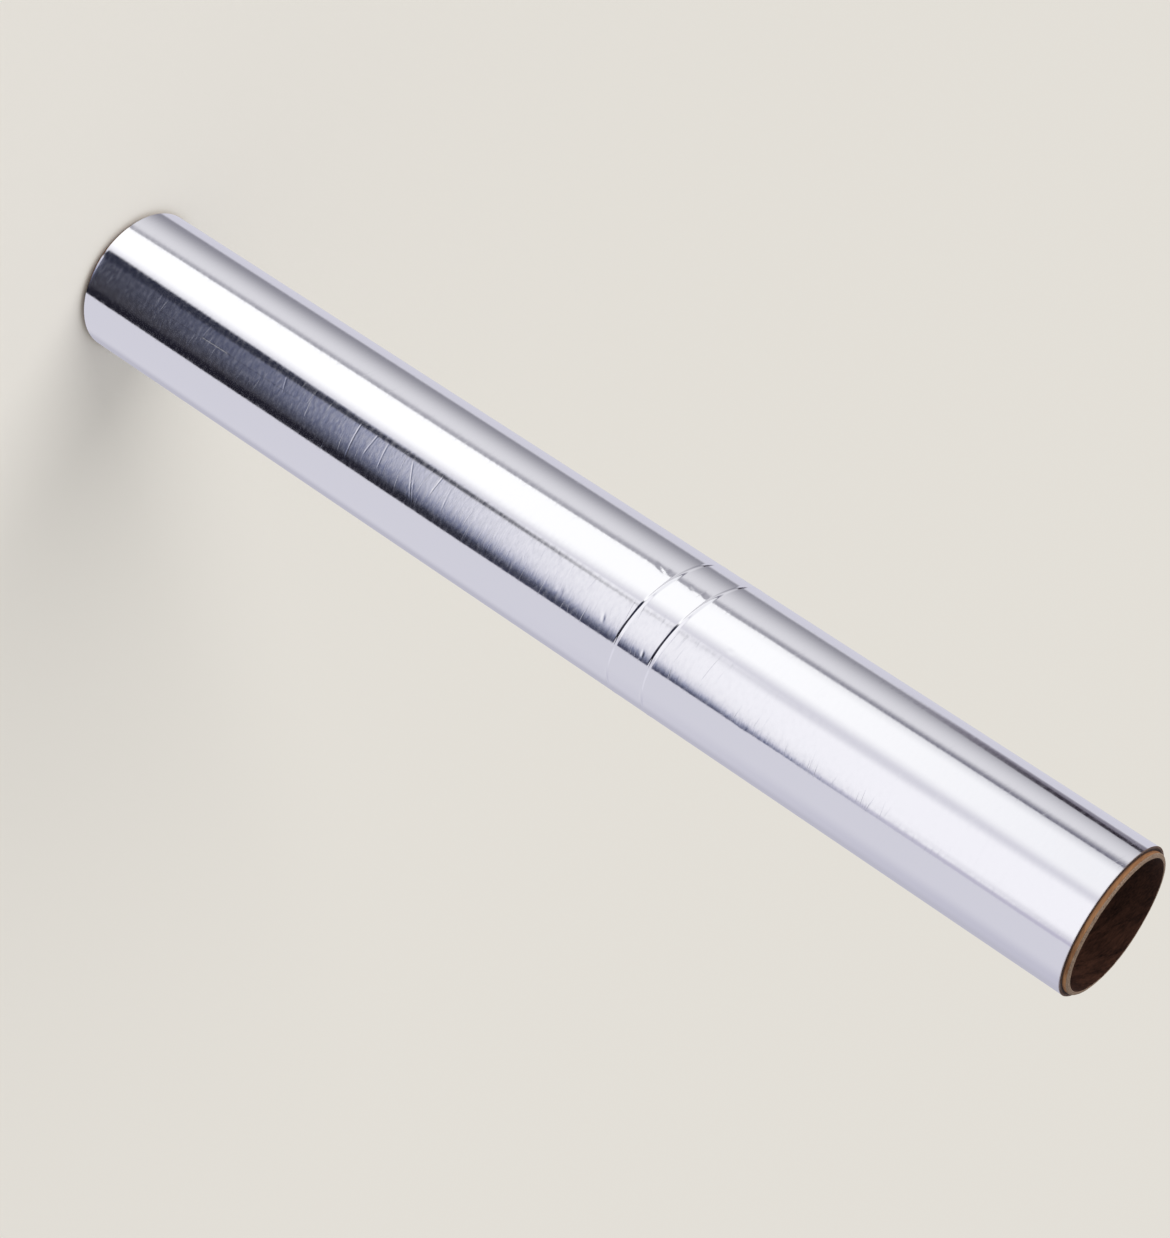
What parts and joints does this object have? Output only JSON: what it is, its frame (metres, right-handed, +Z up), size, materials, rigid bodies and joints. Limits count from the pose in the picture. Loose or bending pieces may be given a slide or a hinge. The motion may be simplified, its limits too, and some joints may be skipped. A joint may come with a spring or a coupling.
{
  "type": "aluminium foil roll",
  "caption": "Short roll of household aluminium foil wound on a plain cardboard core that stands out a little at both ends.",
  "frame": {"origin": "centre of the ring on which the roll stands, the lower cut end of the core", "axes": "+Z up along the roll's axis; the side seen in the picture faces -Y, and its open end is the upper one; +X completes the frame"},
  "size_m": [0.0382, 0.0382, 0.303],
  "materials": {
    "cardboard": "matte",
    "foil": "polished"
  },
  "bodies": {
    "root": {"cardboard_core": "cardboard", "foil_roll": "foil"}
  },
  "joints": []
}
